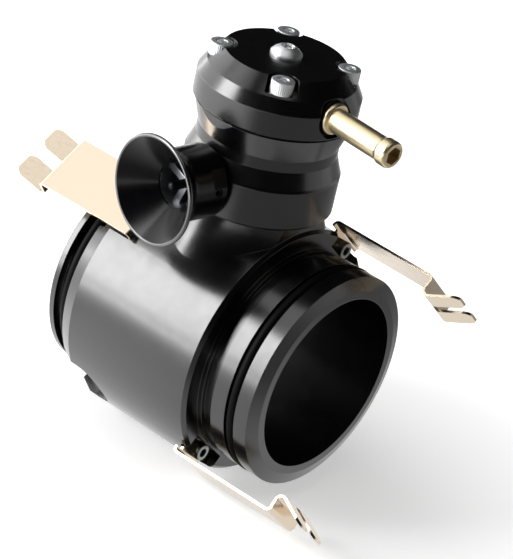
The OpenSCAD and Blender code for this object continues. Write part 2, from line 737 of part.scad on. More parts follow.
// Bell inside the trumpet, cut from the throat to the rim
module trumpet_bell() difference() {
    translate([0, throat_x - 1]) square([rim_in_r, bell_len + 2]);
    translate([outlet_r, throat_x - 2]) square([bell_r, 2]);
    translate([outlet_r + bell_r, throat_x]) circle(r = bell_r, $fn = 180);
}

// Turned trumpet with a socket for the nipple, a spanner flat and a set screw hole in its collar
module trumpet() black_anodised() from_valve(valve_turn + trumpet_turn, outlet_z) difference() {
    along_x() rotate_extrude() trumpet_outline();
    along_x() rotate_extrude() trumpet_bell();
    translate([outlet_seat - 1, 0, 0]) along_x()
        cylinder(r = nipple_d / 2 + collar_clear, h = nipple_len + 1 + collar_clear);
    translate([set_x, 0, 0]) rotate([set_angle - 90, 0, 0])
        cylinder(d = set_d, h = collar_d, $fn = 32);
    rotate([flat_angle, 0, 0]) translate([outlet_seat - 1, collar_r - flat_depth, -collar_r])
        cube([collar_len + 1, collar_r, collar_d]);
}

module trumpet_set_screw() spring_steel() from_valve(valve_turn + trumpet_turn, outlet_z)
    translate([set_x, 0, 0]) rotate([set_angle - 90, 0, 0])
        translate([0, 0, nipple_d / 2]) difference() {
            cylinder(d = set_d, h = collar_r - nipple_d / 2 - set_sink, $fn = 32);
            translate([0, 0, 1]) cylinder(d = set_d / 2 / cos(30), h = collar_r, $fn = 6);
        }

// Side view of a bend in the clip strip, starting at the origin along X and turning by an angle
module strip_bend(turn, mid_r) {
    out_r = mid_r + clip_t / 2;
    side = turn > 0 ? 1 : -1;
    span = abs(turn);
    mirror([0, side < 0 ? 1 : 0]) translate([0, mid_r]) intersection() {
        difference() {
            circle(r = out_r, $fn = 64);
            circle(r = mid_r - clip_t / 2, $fn = 64);
        }
        polygon([[0, 0], [0, -2 * out_r], 2 * out_r * [sin(span / 2), -cos(span / 2)],
            2 * out_r * [sin(span), -cos(span)]]);
    }
}

// Side view of the whole strip: each leg has a length, the bend that follows it and that bend's radius
module strip(legs, k = 0) {
    turn = legs[k][1];
    mid_r = legs[k][2];
    side = turn > 0 ? 1 : -1;
    span = abs(turn);
    translate([-eps, -clip_t / 2]) square([legs[k][0] + 2 * eps, clip_t]);
    if (k < len(legs) - 1) translate([legs[k][0], 0]) {
        strip_bend(turn, mid_r);
        translate(mid_r * [sin(span), side * (1 - cos(span))]) rotate(turn) strip(legs, k + 1);
    }
}

clip_legs = [[tab_len, -90 - strap_slope, bend_mid], [strap_len, -detent_turn, bend_mid],
    [detent_drop, fall_slope + finger_slope, crest_mid], [finger_len, 0, 0]];

// Plan of one finger with its rounded end, centred on Y
module finger_plan(width) {
    inset = width / 2 - finger_round;
    translate([0, -width / 2, 0]) cube([tip_x - finger_round, width, clip_height]);
    translate([0, -inset, 0]) cube([tip_x, 2 * inset, clip_height]);
    for (side = [-1, 1])
        translate([tip_x - finger_round, side * inset, 0])
            cylinder(r = finger_round, h = clip_height, $fn = 48);
}

// A clip drawn for a front pocket, with its tab standing on the back wall
module clip() stainless() difference() {
    finger_w = (clip_w - finger_slot) / 2;
    intersection() {
        rotate([90, 0, 0]) linear_extrude(clip_w, center = true)
            translate([clip_t / 2, strap_mid - bend_mid - tab_len]) rotate(90) strip(clip_legs);
        union() {
            translate([-1, -clip_w / 2 - 1, 0]) cube([crest_x + 1, clip_w + 2, clip_height + 1]);
            for (side = [-1, 1]) translate([0, side * (clip_w - finger_w) / 2, 0]) finger_plan(finger_w);
        }
    }
    for (side = [-1, 1]) translate([-1, side > 0 ? tab_w / 2 : -clip_w - tab_w / 2, 0])
        cube([2 + clip_t, clip_w, main_r + 0.2]);
    translate([-1, 0, clip_screw_r]) along_x() cylinder(d = clip_screw_d + hole_play, h = 3, $fn = 32);
}

module clip_screw() translate([clip_t, 0, clip_screw_r]) along_x()
    socket_screw(clip_screw_d, clip_screw_bite + clip_t, clip_head_d, clip_head_h, 2.5);

module front_clip_upper() at_front(front_clips[0]) clip();
module front_clip_lower() at_front(front_clips[1]) clip();
module rear_clip_upper() at_rear(rear_clips[0]) clip();
module rear_clip_lower() at_rear(rear_clips[1]) clip();

module clip_screws() zinc_plate() {
    for (a = front_clips) at_front(a) clip_screw();
    for (a = rear_clips) at_rear(a) clip_screw();
}

pipe_body();
front_o_ring();
rear_o_ring();
swivel_o_ring();
retaining_wire();
valve_body();
piston();
piston_o_ring();
piston_guide_ring();
seat_ring();
return_spring();
cap_gasket();
cap();
cap_screws();
blanking_screw();
blanking_washer();
vacuum_barb();
barb_o_ring();
outlet_nipple();
trumpet();
trumpet_set_screw();
front_clip_upper();
front_clip_lower();
rear_clip_upper();
rear_clip_lower();
clip_screws();
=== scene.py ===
import math

import bpy
from mathutils import Matrix, Quaternion, Vector


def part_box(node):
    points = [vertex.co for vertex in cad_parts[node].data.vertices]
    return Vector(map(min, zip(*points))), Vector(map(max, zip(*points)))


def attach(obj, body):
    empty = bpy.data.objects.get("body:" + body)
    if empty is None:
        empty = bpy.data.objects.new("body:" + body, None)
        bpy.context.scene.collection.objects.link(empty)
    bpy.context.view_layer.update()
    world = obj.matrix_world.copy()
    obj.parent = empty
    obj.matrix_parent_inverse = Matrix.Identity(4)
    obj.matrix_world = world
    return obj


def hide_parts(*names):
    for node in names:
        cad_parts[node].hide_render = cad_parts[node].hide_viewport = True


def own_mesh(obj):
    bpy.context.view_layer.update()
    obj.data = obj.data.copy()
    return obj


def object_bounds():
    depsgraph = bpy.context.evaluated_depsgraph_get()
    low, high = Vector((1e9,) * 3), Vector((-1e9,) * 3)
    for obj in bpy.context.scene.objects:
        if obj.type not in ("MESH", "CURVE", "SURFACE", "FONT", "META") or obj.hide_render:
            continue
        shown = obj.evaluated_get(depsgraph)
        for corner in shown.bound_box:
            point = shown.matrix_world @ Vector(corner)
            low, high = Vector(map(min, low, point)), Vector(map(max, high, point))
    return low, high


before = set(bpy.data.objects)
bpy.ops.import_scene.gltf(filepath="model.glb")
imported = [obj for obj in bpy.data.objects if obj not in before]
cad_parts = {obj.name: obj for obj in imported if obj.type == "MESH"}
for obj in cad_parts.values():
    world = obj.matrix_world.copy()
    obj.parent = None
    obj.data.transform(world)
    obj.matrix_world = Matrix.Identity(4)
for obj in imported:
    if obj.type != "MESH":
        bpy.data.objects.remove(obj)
cad_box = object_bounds()

bl_info = {
    "name": "Blow off valve finish",
    "version": (1, 0, 0),
    "blender": (4, 5, 0),
    "location": "View3D > Sidebar > Valve",
    "description": "Finishes a blow off valve on a pipe adaptor and sets it on a pale studio floor",
    "category": "Object",
}

MM = 0.001
# Points closer than this become one
WELD = 0.001 * MM
# Slack for picking points by their place
NEAR = 1e-6
# Faces that meet at less than this are shaded as one surface
TURNED_SMOOTH = math.radians(12)
SCREW_SMOOTH = math.radians(25)
# Sides of a small cylinder and of a hexagon socket
ROUND_SIDES = 32
HEX_SIDES = 6


def linear(hex_colour):
    """Turns an sRGB hex colour into linear red, green, blue and alpha."""
    parts = [int(hex_colour[i:i + 2], 16) / 255 for i in (1, 3, 5)]
    return tuple(c / 12.92 if c <= 0.04045 else ((c + 0.055) / 1.055) ** 2.4 for c in parts) + (1.0,)


def colour_prop(name, description, hex_colour):
    """A colour that can be changed in the sidebar."""
    return bpy.props.FloatVectorProperty(
        name=name, description=description, subtype="COLOR", size=4, min=0.0, max=1.0,
        default=linear(hex_colour))


def length_prop(name, description, millimetres):
    """A length that can be changed in the sidebar, written in millimetres."""
    return bpy.props.FloatProperty(
        name=name, description=description, subtype="DISTANCE", unit="LENGTH", min=0.0,
        precision=5, default=millimetres * MM)


def angle_prop(name, description, degrees):
    """An angle that can be changed in the sidebar, written in degrees."""
    return bpy.props.FloatProperty(
        name=name, description=description, subtype="ANGLE", default=math.radians(degrees))


def amount_prop(name, description, amount):
    """A plain number that can be changed in the sidebar."""
    return bpy.props.FloatProperty(name=name, description=description, min=0.0, default=amount)


class ValveColours(bpy.types.PropertyGroup):
    """Colours of the valve's finishes."""
    anodise: colour_prop("Anodised black", "Dyed oxide skin of the turned aluminium", "#08080A")
    rubber: colour_prop("Rubber", "Black seal rubber", "#0B0B0B")
    zinc: colour_prop("Zinc plate", "Satin plate of the screws", "#F2F4F5")
    brass: colour_prop("Brass", "Satin brass of the hose barb", "#F6E4BC")
    clip_steel: colour_prop("Clip steel", "Rolled stainless strip of the clips", "#EEDDC6")
    wire_steel: colour_prop("Wire steel", "Drawn wire of the spring and the retaining wire", "#8E9196")
    aluminium: colour_prop("Turned aluminium", "Bare turned aluminium inside the valve", "#C9CBCE")
    # The nipple's grey paints the shade of the trumpet onto its bare aluminium
    nipple: colour_prop("Dark aluminium", "Aluminium of the nipple, greyed to paint the trumpet's shade on it", "#909296")
    # Greenish zinc plate, made darker to paint the shaded floor that the screw faces mirror
    socket_steel_painted_shade: colour_prop("Socket steel", "Plate of the small clip screws, darkened by painted shade", "#9A9E9C")
    black_steel: colour_prop("Black steel", "Blackened steel of the set screw", "#2A2B2D")
    guide: colour_prop("Guide plastic", "White bearing plastic of the piston guide", "#E4E2D8")


class ValveSizes(bpy.types.PropertyGroup):
    """Sizes of the screws and of the spring modelled here."""
    cap_head: length_prop("Cap screw head", "Diameter of a cap screw head", 7.0)
    cap_head_h: length_prop("Cap head height", "Height of a cap screw head", 4.0)
    cap_shank: length_prop("Cap screw shank", "Diameter of a cap screw shank", 4.0)
    cap_hex: length_prop("Cap screw socket", "Hexagon of a cap screw, across flats", 3.0)
    cap_circle: length_prop("Cap screw circle", "Radius of the circle of cap screws", 19.3)
    clip_head: length_prop("Clip screw head", "Diameter of a clip screw head", 5.5)
    clip_head_h: length_prop("Clip head height", "Height of a clip screw head", 3.0)
    clip_shank: length_prop("Clip screw shank", "Diameter of a clip screw shank", 3.0)
    clip_hex: length_prop("Clip screw socket", "Hexagon of a clip screw, across flats", 2.5)
    clip_circle: length_prop("Clip screw distance", "Distance of a clip screw from the pipe axis", 38.3)
    clip_shank_len: length_prop("Clip shank length", "Length of a clip screw below its head", 6.8)
    blank_head: length_prop("Blanking screw head", "Diameter of the domed head in the cap", 9.6)
    blank_height: length_prop("Blanking screw height", "Height of the domed head in the cap", 2.4)
    blank_hex: length_prop("Blanking screw socket", "Hexagon of the domed screw, across flats", 3.5)
    blank_shank: length_prop("Blanking screw shank", "Diameter of the domed screw's shank", 6.0)
    blank_washer: length_prop("Blanking washer", "Diameter of the washer under the domed head", 9.8)
    spring_mid: length_prop("Spring radius", "Radius of the return spring, to the middle of its wire", 9.2)
    spring_wire: length_prop("Spring wire", "Diameter of the return spring's wire", 1.8)
    piston_lift: length_prop("Piston lift", "How far the piston lifts", 8.0)
    spring_turns: bpy.props.IntProperty(name="Spring turns", description="Turns of the return spring", default=6)
    front_turn: angle_prop("Front clips", "Turn of the front clips round the pipe, from upright", 41.5)
    rear_turn: angle_prop("Rear clips", "Turn of the rear clips round the pipe, from upright", -35.0)


class ValveOutlet(bpy.types.PropertyGroup):
    """Sizes of the trumpet and of what sits in it; places along the outlet are distances from the valve axis."""
    height: length_prop("Outlet height", "Height of the outlet's axis above the pipe axis", 54.0)
    turn: angle_prop("Outlet turn", "Direction of the outlet round the valve axis", -97.0)
    seat: length_prop("Seat", "Place where the trumpet meets the valve body", 23.3)
    mouth: length_prop("Mouth", "Place where the rolled rim ends", 43.6)
    throat: length_prop("Throat", "Place where the bell begins", 34.33)
    tube: length_prop("Tube radius", "Outer radius of the trumpet's tube", 11.2)
    rim: length_prop("Rim radius", "Outer radius of the rolled rim", 16.85)
    roll: length_prop("Rim roll", "Radius of the rolled rim's own section", 0.7)
    bell: angle_prop("Bell slope", "Slope of the straight bell against the outlet's axis", 46.45)
    fillet: length_prop("Bell fillet", "Hollow radius between the tube and the bell", 6.0)
    edge: length_prop("Tube edge", "Broken edge of the tube at the seat", 0.5)
    socket: length_prop("Socket radius", "Radius of the hole that slides over the nipple", 9.03)
    bore: length_prop("Bore radius", "Radius of the open bore", 6.75)
    flat_len: length_prop("Flat length", "Length of the flat milled on the tube", 5.6)
    flat_depth: length_prop("Flat depth", "Depth of the flat milled on the tube", 0.4)
    flat_turn: angle_prop("Flat turn", "Turn of the flat round the outlet's axis", 30.0)
    screw: length_prop("Set screw radius", "Radius of the set screw", 1.5)
    screw_place: length_prop("Set screw place", "Place of the set screw along the outlet", 27.2)
    screw_turn: angle_prop("Set screw turn", "Turn of the set screw round the outlet's axis", 8.0)
    nipple: length_prop("Nipple radius", "Radius of the nipple inside the trumpet", 9.0)
    thread: length_prop("Thread radius", "Radius of the nipple's thread", 8.0)
    thread_end: length_prop("Thread end", "Place where the nipple's thread ends", 20.3)
    arm_wide: length_prop("Cross arm width", "Width of an arm of the cross in the throat", 2.6)
    arm_thick: length_prop("Cross arm thickness", "Thickness of an arm of the cross", 2.0)
    arm_turn: angle_prop("Cross turn", "Turn of the cross round the outlet's axis", -18.0)
    arm_place: length_prop("Cross place", "Place of the cross's front face", 30.3)
    stud: length_prop("Stud radius", "Radius of the domed stud where the arms meet", 1.4)
    stud_end: length_prop("Stud end", "Place where the stud ends", 36.6)


class ValveStage(bpy.types.PropertyGroup):
    """Floor, light and camera."""
    floor: colour_prop("Floor", "Pale studio floor", "#F4F4F4")
    key_glow: amount_prop("Key light", "Brightness of the strip softbox on the left", 10.0)
    side_glow: amount_prop("Side light", "Brightness of the softbox further round to the left", 2.1)
    high_glow: amount_prop("High light", "Brightness of the raised softbox on the left", 1.2)
    top_glow: amount_prop("Top light", "Brightness of the overhead softbox", 1.05)
    card_glow: amount_prop("Back card", "Brightness of the pale card behind on the right", 0.5)
    lens: amount_prop("Lens", "Focal length of the camera in millimetres", 162.92)
    azimuth: angle_prop("Azimuth", "Camera direction round the valve axis", 34.857)
    elevation: angle_prop("Elevation", "Camera height above the horizon", 27.262)
    roll: angle_prop("Roll", "Lean of the camera", 13.07)


def add(tree, kind, settings=None, inputs=None):
    """Adds one node, sets its options, and sets or links its inputs."""
    item = tree.nodes.new(kind)
    for key, value in (settings or {}).items():
        setattr(item, key, value)
    for key, value in (inputs or {}).items():
        if isinstance(value, bpy.types.NodeSocket):
            tree.links.new(value, item.inputs[key])
        else:
            item.inputs[key].default_value = value
    return item


def new_material(name):
    """An empty node material with its output."""
    material = bpy.data.materials.new(name)
    material.use_nodes = True
    material.node_tree.nodes.clear()
    return material, material.node_tree, add(material.node_tree, "ShaderNodeOutputMaterial")


def wave_scale(pitch):
    """Scale of a wave texture whose bands repeat at this pitch; a wave runs 20 radians for each unit of scale."""
    return 2 * math.pi / (20 * pitch)


def turned_black(name, colours, location, rotation, gloss):
    """Black anodised aluminium, turned on a lathe: a dark dyed oxide skin with a satin sheen that pulls soft lamps into
    broad pale bands, and fine rings left by the tool. The rotation lays the lathe axis along X, and the gloss is the
    skin's index of refraction."""
    material, tree, out = new_material(name)
    place = add(tree, "ShaderNodeTexCoord")
    lathe = add(tree, "ShaderNodeMapping", {"vector_type": "TEXTURE"},
                {"Vector": place.outputs["Object"], "Location": location, "Rotation": rotation})
    # Tool rings follow the feed of the lathe, 0.25 mm a turn, along the sides and across the faces
    ring = {"Vector": lathe.outputs["Vector"], "Scale": wave_scale(0.25 * MM), "Distortion": 0.5, "Detail": 1.0}
    along = add(tree, "ShaderNodeTexWave", {"wave_type": "BANDS", "bands_direction": "X"}, ring)
    across = add(tree, "ShaderNodeTexWave", {"wave_type": "RINGS", "rings_direction": "X"}, ring)
    rings = add(tree, "ShaderNodeMix", {"data_type": "FLOAT"},
                {"Factor": 0.5, "A": along.outputs["Fac"], "B": across.outputs["Fac"]})
    # Patchy dye, about 4 mm across
    patch = add(tree, "ShaderNodeTexNoise", inputs={"Vector": place.outputs["Object"], "Scale": 1 / (4 * MM),
                                                    "Detail": 4.0, "Roughness": 0.6})
    sheen = add(tree, "ShaderNodeMapRange",
                inputs={"Value": patch.outputs["Fac"], "From Min": 0.3, "From Max": 0.7,
                        "To Min": 0.2, "To Max": 0.25})
    edge = add(tree, "ShaderNodeBevel", {"samples": 6}, {"Radius": 0.25 * MM})
    relief = add(tree, "ShaderNodeBump", inputs={"Strength": 0.04, "Distance": 0.01 * MM,
                                                 "Height": rings.outputs["Result"], "Normal": edge.outputs["Normal"]})
    skin = add(tree, "ShaderNodeBsdfPrincipled",
               inputs={"Base Color": tuple(colours.anodise), "Roughness": sheen.outputs["Result"],
                       "IOR": gloss, "Normal": relief.outputs["Normal"]})
    tree.links.new(skin.outputs["BSDF"], out.inputs["Surface"])
    return material


def seal_rubber(name, colours):
    """Moulded nitrile rubber: soft black with a faint grain and a thin highlight along each ring."""
    material, tree, out = new_material(name)
    place = add(tree, "ShaderNodeTexCoord")
    # Mould grain of about 0.3 mm
    grain = add(tree, "ShaderNodeTexNoise", inputs={"Vector": place.outputs["Object"], "Scale": 1 / (0.3 * MM),
                                                    "Detail": 3.0})
    dull = add(tree, "ShaderNodeMapRange",
               inputs={"Value": grain.outputs["Fac"], "To Min": 0.48, "To Max": 0.62})
    relief = add(tree, "ShaderNodeBump",
                 inputs={"Strength": 0.1, "Distance": 0.03 * MM, "Height": grain.outputs["Fac"]})
    skin = add(tree, "ShaderNodeBsdfPrincipled",
               inputs={"Base Color": tuple(colours.rubber), "Roughness": dull.outputs["Result"],
                       "Specular IOR Level": 0.1, "Normal": relief.outputs["Normal"]})
    tree.links.new(skin.outputs["BSDF"], out.inputs["Surface"])
    return material


def bare_metal(name, colour, rough, grain, relief, bevel=0.1, stretch=(1, 1, 1)):
    """Bare or plated metal: a mirror tinted by its own colour, softened by fine grain that can be drawn along one way.
    Grain, relief and bevel are in millimetres."""
    material, tree, out = new_material(name)
    place = add(tree, "ShaderNodeTexCoord")
    drawn = add(tree, "ShaderNodeMapping", {"vector_type": "POINT"},
                {"Vector": place.outputs["Object"], "Scale": stretch})
    specks = add(tree, "ShaderNodeTexNoise", inputs={"Vector": drawn.outputs["Vector"], "Scale": 1 / (grain * MM),
                                                     "Detail": 3.0, "Roughness": 0.6})
    polish = add(tree, "ShaderNodeMapRange",
                 inputs={"Value": specks.outputs["Fac"], "From Min": 0.3, "From Max": 0.7,
                         "To Min": rough * 0.8, "To Max": rough * 1.25})
    shade = tuple(c * 0.97 for c in colour[:3]) + (1.0,)
    tone = add(tree, "ShaderNodeMix", {"data_type": "RGBA"},
               {"Factor": specks.outputs["Fac"], "A": shade, "B": tuple(colour)})
    edge = add(tree, "ShaderNodeBevel", {"samples": 6}, {"Radius": bevel * MM})
    bumps = add(tree, "ShaderNodeBump", inputs={"Strength": 0.2, "Distance": relief * MM,
                                                "Height": specks.outputs["Fac"], "Normal": edge.outputs["Normal"]})
    skin = add(tree, "ShaderNodeBsdfPrincipled",
               inputs={"Base Color": tone.outputs["Result"], "Metallic": 1.0, "Roughness": polish.outputs["Result"],
                       "Normal": bumps.outputs["Normal"]})
    tree.links.new(skin.outputs["BSDF"], out.inputs["Surface"])
    return material


def guide_plastic(name, colours):
    """Turned white bearing plastic: waxy and matt."""
    material, tree, out = new_material(name)
    place = add(tree, "ShaderNodeTexCoord")
    cloud = add(tree, "ShaderNodeTexNoise", inputs={"Vector": place.outputs["Object"], "Scale": 1 / (1.5 * MM)})
    dull = add(tree, "ShaderNodeMapRange", inputs={"Value": cloud.outputs["Fac"], "To Min": 0.4, "To Max": 0.6})
    skin = add(tree, "ShaderNodeBsdfPrincipled",
               inputs={"Base Color": tuple(colours.guide), "Roughness": dull.outputs["Result"], "IOR": 1.4})
    tree.links.new(skin.outputs["BSDF"], out.inputs["Surface"])
    return material


def dress(material, *nodes):
    """Gives CAD nodes a material."""
    for name in nodes:
        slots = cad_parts[name].data.materials
        if len(slots) == 0:
            slots.append(material)
        for i in range(len(slots)):
            slots[i] = material


def wear(piece, materials):
    """Gives a piece its own materials."""
    piece.data.materials.clear()
    for material in materials:
        piece.data.materials.append(material)


def fresh_selection():
    """Leaves edit mode and selects nothing."""
    if bpy.context.object and bpy.context.object.mode != "OBJECT":
        bpy.ops.object.mode_set(mode="OBJECT")
    bpy.ops.object.select_all(action="DESELECT")


def combine(target, tool, operation):
    """Cuts a tool out of a piece or welds it on, and removes the tool."""
    fresh_selection()
    target.select_set(True)
    bpy.context.view_layer.objects.active = target
    change = target.modifiers.new("change", "BOOLEAN")
    change.operation = operation
    change.solver = "EXACT"
    change.object = tool
    bpy.ops.object.modifier_apply(modifier=change.name)
    bpy.data.objects.remove(tool, do_unlink=True)


def cut_away(target, cutter):
    """Takes a cutter out of a piece and removes the cutter."""
    combine(target, cutter, "DIFFERENCE")


def put(piece, place):
    """Moves a piece by a matrix and leaves its place in the mesh."""
    fresh_selection()
    piece.select_set(True)
    bpy.context.view_layer.objects.active = piece
    piece.matrix_world = place @ piece.matrix_world
    bpy.ops.object.transform_apply(location=True, rotation=True, scale=True)
    return piece


def cylinder(sides, radius, depth, middle):
    """A cylinder round Z with its middle at a height."""
    fresh_selection()
    bpy.ops.mesh.primitive_cylinder_add(vertices=sides, radius=radius, depth=depth, location=(0, 0, middle))
    return bpy.context.object


def hex_corner(flats):
    """Radius to the corners of a hexagon, from its size across flats."""
    return flats / 2 / math.cos(math.pi / HEX_SIDES)


def turned_ring(name, section, sides):
    """A turned ring round Z: a circle drawn from point to point round a closed section of (radius, height)."""
    fresh_selection()
    radius, height = section[0]
    bpy.ops.mesh.primitive_circle_add(vertices=sides, radius=radius, location=(0, 0, height))
    piece = bpy.context.object
    piece.name = name
    bpy.ops.object.transform_apply(location=True, rotation=True, scale=True)
    bpy.ops.object.mode_set(mode="EDIT")
    bpy.ops.mesh.select_mode(type="EDGE")
    bpy.ops.mesh.select_all(action="SELECT")
    for next_radius, next_height in section[1:] + section[:1]:
        bpy.ops.mesh.extrude_region_move(TRANSFORM_OT_translate={"value": (0, 0, next_height - height)})
        grow = next_radius / radius
        bpy.ops.transform.resize(value=(grow, grow, 1), center_override=(0, 0, next_height))
        radius, height = next_radius, next_height
    bpy.ops.mesh.select_all(action="SELECT")
    bpy.ops.mesh.remove_doubles(threshold=WELD)
    bpy.ops.mesh.normals_make_consistent(inside=False)
    bpy.ops.object.mode_set(mode="OBJECT")
    return piece


def arc(centre, radius, start, end, steps):
    """Points of an arc in a section, from one angle to another."""
    turns = [start + (end - start) * k / steps for k in range(steps + 1)]
    return [(centre[0] + radius * math.cos(t), centre[1] + radius * math.sin(t)) for t in turns]


def outlet_place(outlet):
    """The outlet's own frame: X runs out along its axis."""
    return Matrix.Translation((0, 0, outlet.height)) @ Matrix.Rotation(outlet.turn, 4, "Z")


def along_outlet(outlet):
    """Lays Z along the outlet's axis."""
    return outlet_place(outlet) @ Matrix.Rotation(math.pi / 2, 4, "Y")


def set_screw_place(outlet):
    """Lays Z along the set screw, from the outlet's axis outwards."""
    return (outlet_place(outlet) @ Matrix.Translation((outlet.screw_place, 0, 0))
            @ Matrix.Rotation(outlet.screw_turn - math.pi / 2, 4, "X"))


def finish_piece(piece, materials, node):
    """Gives a piece of the head its materials and puts it in a node's place."""
    bpy.context.view_layer.objects.active = piece
    piece.select_set(True)
    bpy.ops.object.shade_smooth_by_angle(angle=TURNED_SMOOTH)
    wear(piece, materials)
    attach(piece, "head")
    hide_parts(node)


def second_skin(piece, outlet, chosen):
    """Gives faces a piece's second material, chosen by place along the outlet and distance from its axis."""
    back = outlet_place(outlet).inverted()
    for face in piece.data.polygons:
        spot = back @ face.center
        if chosen(spot.x, spot.yz.length):
            face.material_index = 1


def screw_head(name, head_d, head_h, sides, rounding, steps):
    """A round screw head standing on the origin, with its top edge rounded."""
    head = cylinder(sides, head_d / 2, head_h, head_h / 2)
    head.name = name
    bpy.ops.object.mode_set(mode="EDIT")
    bpy.ops.mesh.select_mode(type="EDGE")
    bpy.ops.mesh.select_all(action="DESELECT")
    bpy.ops.object.mode_set(mode="OBJECT")
    top = head_h / 2
    for edge in head.data.edges:
        edge.select = all(head.data.vertices[v].co.z > top - NEAR for v in edge.vertices)
    bpy.ops.object.mode_set(mode="EDIT")
    bpy.ops.mesh.bevel(offset=rounding, segments=steps, profile=0.5)
    bpy.ops.mesh.select_mode(type="VERT")
    bpy.ops.mesh.select_all(action="DESELECT")
    bpy.ops.object.mode_set(mode="OBJECT")
    bpy.ops.object.transform_apply(location=True, rotation=True, scale=True)
    return head


def cut_socket(head, top, hex_flats, depth, drop):
    """Cuts a hexagon socket into a screw head and breaks its mouth, which lies a drop below the top."""
    broken_edge = 0.05 * MM
    corner = hex_corner(hex_flats)
    cut_away(head, cylinder(HEX_SIDES, corner, 2 * depth, top))
    mouth = corner + broken_edge
    fresh_selection()
    bpy.ops.mesh.primitive_cone_add(vertices=ROUND_SIDES, radius1=0, radius2=2 * mouth, depth=2 * mouth,
                                    location=(0, 0, top - drop))
    cut_away(head, bpy.context.object)


def add_shank(head, shank_d, shank_len):
    """Joins a shank to the underside of a screw head and runs it a little way in."""
    run_in = 0.2 * MM
    cylinder(ROUND_SIDES, shank_d / 2, shank_len + run_in, -shank_len / 2 + run_in / 2)
    bpy.ops.object.transform_apply(location=True, rotation=True, scale=True)
    head.select_set(True)
    bpy.context.view_layer.objects.active = head
    bpy.ops.object.join()
    bpy.ops.object.shade_smooth_by_angle(angle=SCREW_SMOOTH)


def knurled_screw(name, head_d, head_h, shank_d, shank_len, hex_flats):
    """A socket head screw pointing down, with the underside of its head at the origin and a fluted side."""
    flutes = 36
    rounding = 0.35 * MM
    # Radius in a groove, as a share of the head's radius
    groove = 0.965
    head = screw_head(name, head_d, head_h, 2 * flutes, rounding, steps=3)
    step = math.pi / flutes
    for vertex in head.data.vertices:
        around = math.atan2(vertex.co.y, vertex.co.x) / step
        vertex.select = vertex.co.xy.length > head_d / 2 - NEAR and round(around) % 2 == 0
    bpy.ops.object.mode_set(mode="EDIT")
    bpy.ops.transform.resize(value=(groove, groove, 1.0))
    bpy.ops.object.mode_set(mode="OBJECT")
    cut_socket(head, head_h, hex_flats, depth=head_h / 2, drop=0)
    add_shank(head, shank_d, shank_len)
    return head


def set_out(pattern, places, name):
    """Copies a pattern to each place, joins the copies and leaves the piece at the origin."""
    made = []
    for place in places:
        copy = pattern.copy()
        copy.data = pattern.data.copy()
        bpy.context.collection.objects.link(copy)
        copy.matrix_world = place
        made.append(copy)
    bpy.data.objects.remove(pattern, do_unlink=True)
    fresh_selection()
    for copy in made:
        copy.select_set(True)
    bpy.context.view_layer.objects.active = made[0]
    bpy.ops.object.transform_apply(location=True, rotation=True, scale=True)
    bpy.ops.object.join()
    piece = bpy.context.object
    piece.name = name
    return piece


class VALVE_OT_black_parts(bpy.types.Operator):
    """Finishes the black anodised turned parts"""
    bl_idname = "valve.black_parts"
    bl_label = "Black turned parts"

    def execute(self, context):
        colours = context.scene.valve_colours
        quarter = math.pi / 2
        pipe = turned_black("anodised_aluminium_pipe", colours, (0, 0, 0), (0, 0, 0), gloss=1.8)
        head = turned_black("anodised_aluminium_head", colours, (0, 0, 0), (0, quarter, 0), gloss=1.8)
        dress(pipe, "pipe_body")
        dress(head, "valve_body", "cap")
        return {"FINISHED"}


class VALVE_OT_seals(bpy.types.Operator):
    """Finishes the rubber seals"""
    bl_idname = "valve.seals"
    bl_label = "Rubber seals"

    def execute(self, context):
        rubber = seal_rubber("nitrile_rubber", context.scene.valve_colours)
        dress(rubber, "front_o_ring", "rear_o_ring", "swivel_o_ring", "piston_o_ring", "seat_ring", "cap_gasket",
              "barb_o_ring")
        return {"FINISHED"}


class VALVE_OT_bright_parts(bpy.types.Operator):
    """Finishes the brass, steel, aluminium and plastic parts"""
    bl_idname = "valve.bright_parts"
    bl_label = "Bright parts"

    def execute(self, context):
        colours = context.scene.valve_colours
        brass = bare_metal("satin_brass", colours.brass, rough=0.35, grain=0.5, relief=0.002, bevel=0.3)
        dress(brass, "vacuum_barb")
        strip = bare_metal("rolled_stainless", colours.clip_steel, rough=0.2, grain=0.8, relief=0.0005, bevel=0.08,
                           stretch=(0.15, 1, 1))
        dress(strip, "front_clip_upper", "front_clip_lower", "rear_clip_upper", "rear_clip_lower")
        wire = bare_metal("drawn_spring_wire", colours.wire_steel, rough=0.3, grain=0.3, relief=0.01)
        dress(wire, "retaining_wire")
        aluminium = bare_metal("turned_aluminium", colours.aluminium, rough=0.3, grain=0.4, relief=0.01, bevel=0.2,
                               stretch=(1, 1, 0.2))
        dress(aluminium, "piston")
        dress(guide_plastic("bearing_plastic", colours), "piston_guide_ring")
        return {"FINISHED"}


